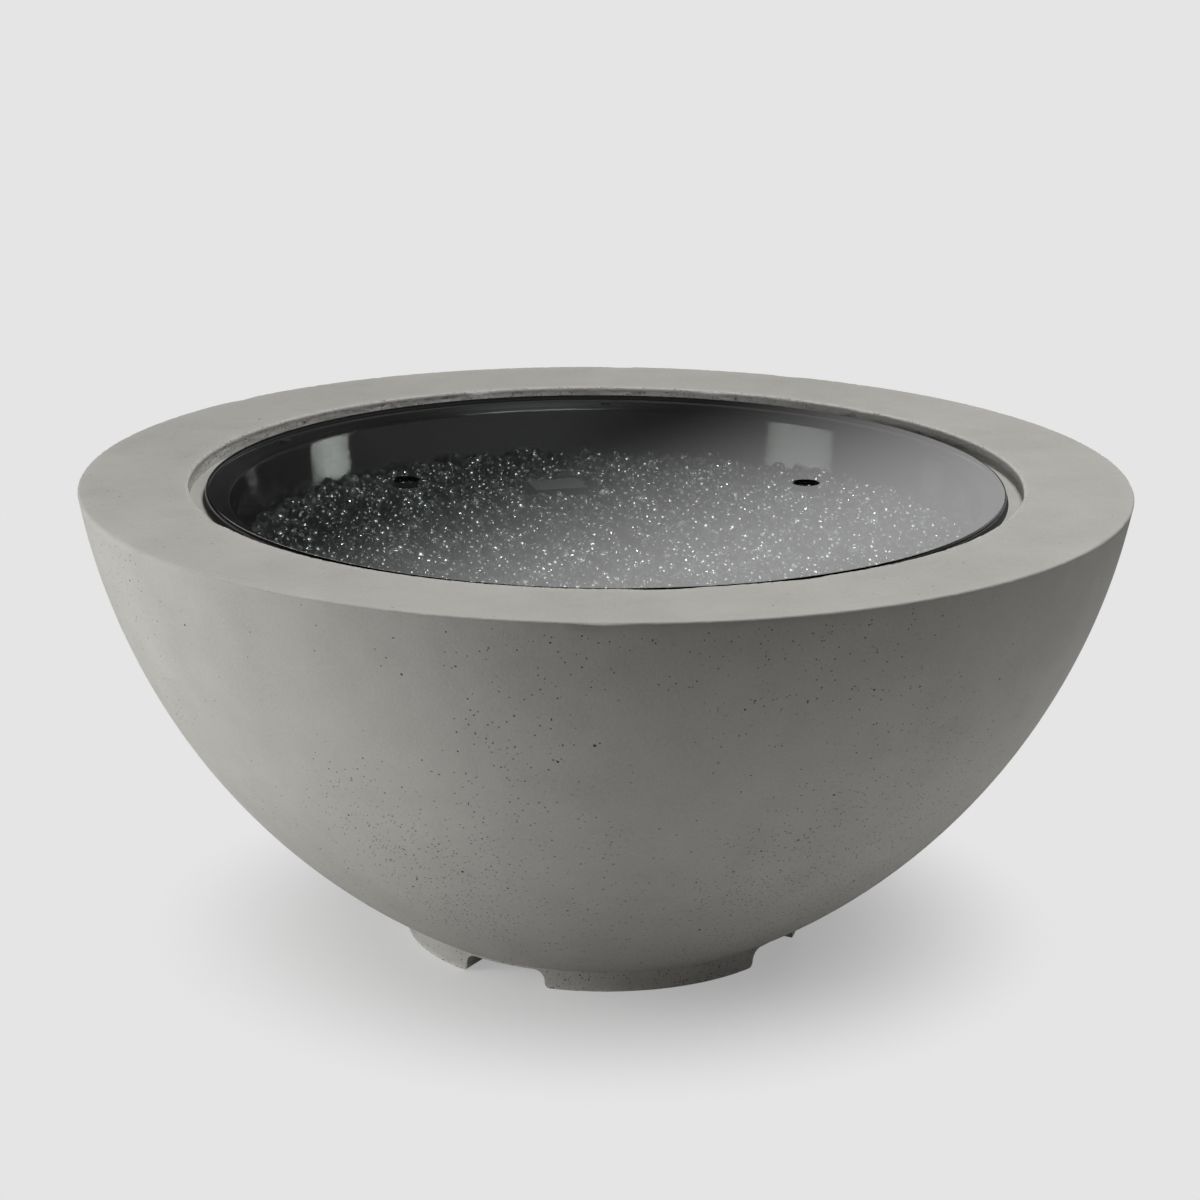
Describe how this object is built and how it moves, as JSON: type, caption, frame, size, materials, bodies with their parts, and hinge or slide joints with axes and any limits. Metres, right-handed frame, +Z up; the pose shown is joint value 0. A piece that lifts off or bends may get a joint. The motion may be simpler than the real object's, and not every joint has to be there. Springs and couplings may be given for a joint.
{
  "type": "gas fire pit bowl",
  "caption": "Round cast concrete fire bowl on a gapped foot ring, with a drop-in gas burner pan under fire glass, a tinted glass cover and a knob and igniter at the back.",
  "frame": {"origin": "centre of the foot ring on the floor", "axes": "+Z up along the bowl's axis, -Y to the front, +Y to the back with the control niche"},
  "size_m": [1.066, 1.066, 0.48],
  "materials": {
    "concrete": "bare cast concrete, light warm grey with pinholes",
    "stainless": "brushed",
    "burner_steel": "bare, dulled by heat",
    "hood_steel": "bare, dulled by heat",
    "plated_steel": "zinc plated",
    "screw_steel": "bright",
    "brass": "machined",
    "copper": "drawn copper",
    "coated_hose": "yellow coated corrugated steel line",
    "black_panel": "satin powder coat",
    "knob_plastic": "moulded, satin",
    "igniter_plastic": "moulded, satin",
    "white_plastic": "moulded",
    "battery_can": "printed sleeve, plain",
    "lead_rubber": "silicone sleeve",
    "white_ceramic": "unglazed",
    "fire_glass": "clear tumbled glass",
    "cover_glass": "grey tinted tempered glass, polished edge",
    "bumper_rubber": "clear silicone"
  },
  "bodies": {
    "bowl": {"concrete_bowl": "concrete", "burner_pan": "stainless", "burner_manifold": "burner_steel", "ring_clips": "burner_steel", "burner_nipple": "plated_steel", "pan_washer": "plated_steel", "pan_locknut": "plated_steel", "air_mixer": "brass", "orifice_elbow": "brass", "gas_flex_line": "coated_hose", "flare_nuts": "brass", "gas_valve_body": "brass", "valve_locknut": "plated_steel", "control_panel": "black_panel", "panel_screws": "screw_steel", "igniter_housing": "igniter_plastic", "igniter_locknut": "igniter_plastic", "igniter_battery": "battery_can", "spark_lead": "lead_rubber", "electrode_insulator": "white_ceramic", "electrode_rod": "burner_steel", "thermocouple": "copper", "thermocouple_lead": "copper", "igniter_bracket": "burner_steel", "igniter_hood": "hood_steel", "hood_screws": "screw_steel", "gem_bed": "fire_glass", "top_gems": "fire_glass"},
    "cover": {"glass_cover": "cover_glass", "cover_bumpers": "bumper_rubber"},
    "knob_slider": {"stem_washer": "white_plastic"},
    "knob": {"valve_stem": "plated_steel", "control_knob": "knob_plastic", "knob_set_screw": "plated_steel"},
    "igniter_push": {"igniter_button": "igniter_plastic"}
  },
  "joints": [
    {"name": "cover_lift", "type": "slide", "parent": "bowl", "child": "cover", "axis": [0, 0, 1], "range_m": [0, 0.3]},
    {"name": "knob_push", "type": "slide", "parent": "bowl", "child": "knob_slider", "axis": [0, -1, 0], "range_m": [0, 0.003], "stiffness_N_per_m": 800, "springref_m": -0.004},
    {"name": "knob_turn", "type": "hinge", "parent": "knob_slider", "child": "knob", "pos_m": [-0.032, 0.46, 0.33], "axis": [0, 1, 0], "range_deg": [0, 180]},
    {"name": "igniter_press", "type": "slide", "parent": "bowl", "child": "igniter_push", "axis": [0, -1, 0], "range_m": [0, 0.004], "stiffness_N_per_m": 500, "springref_m": -0.005}
  ]
}
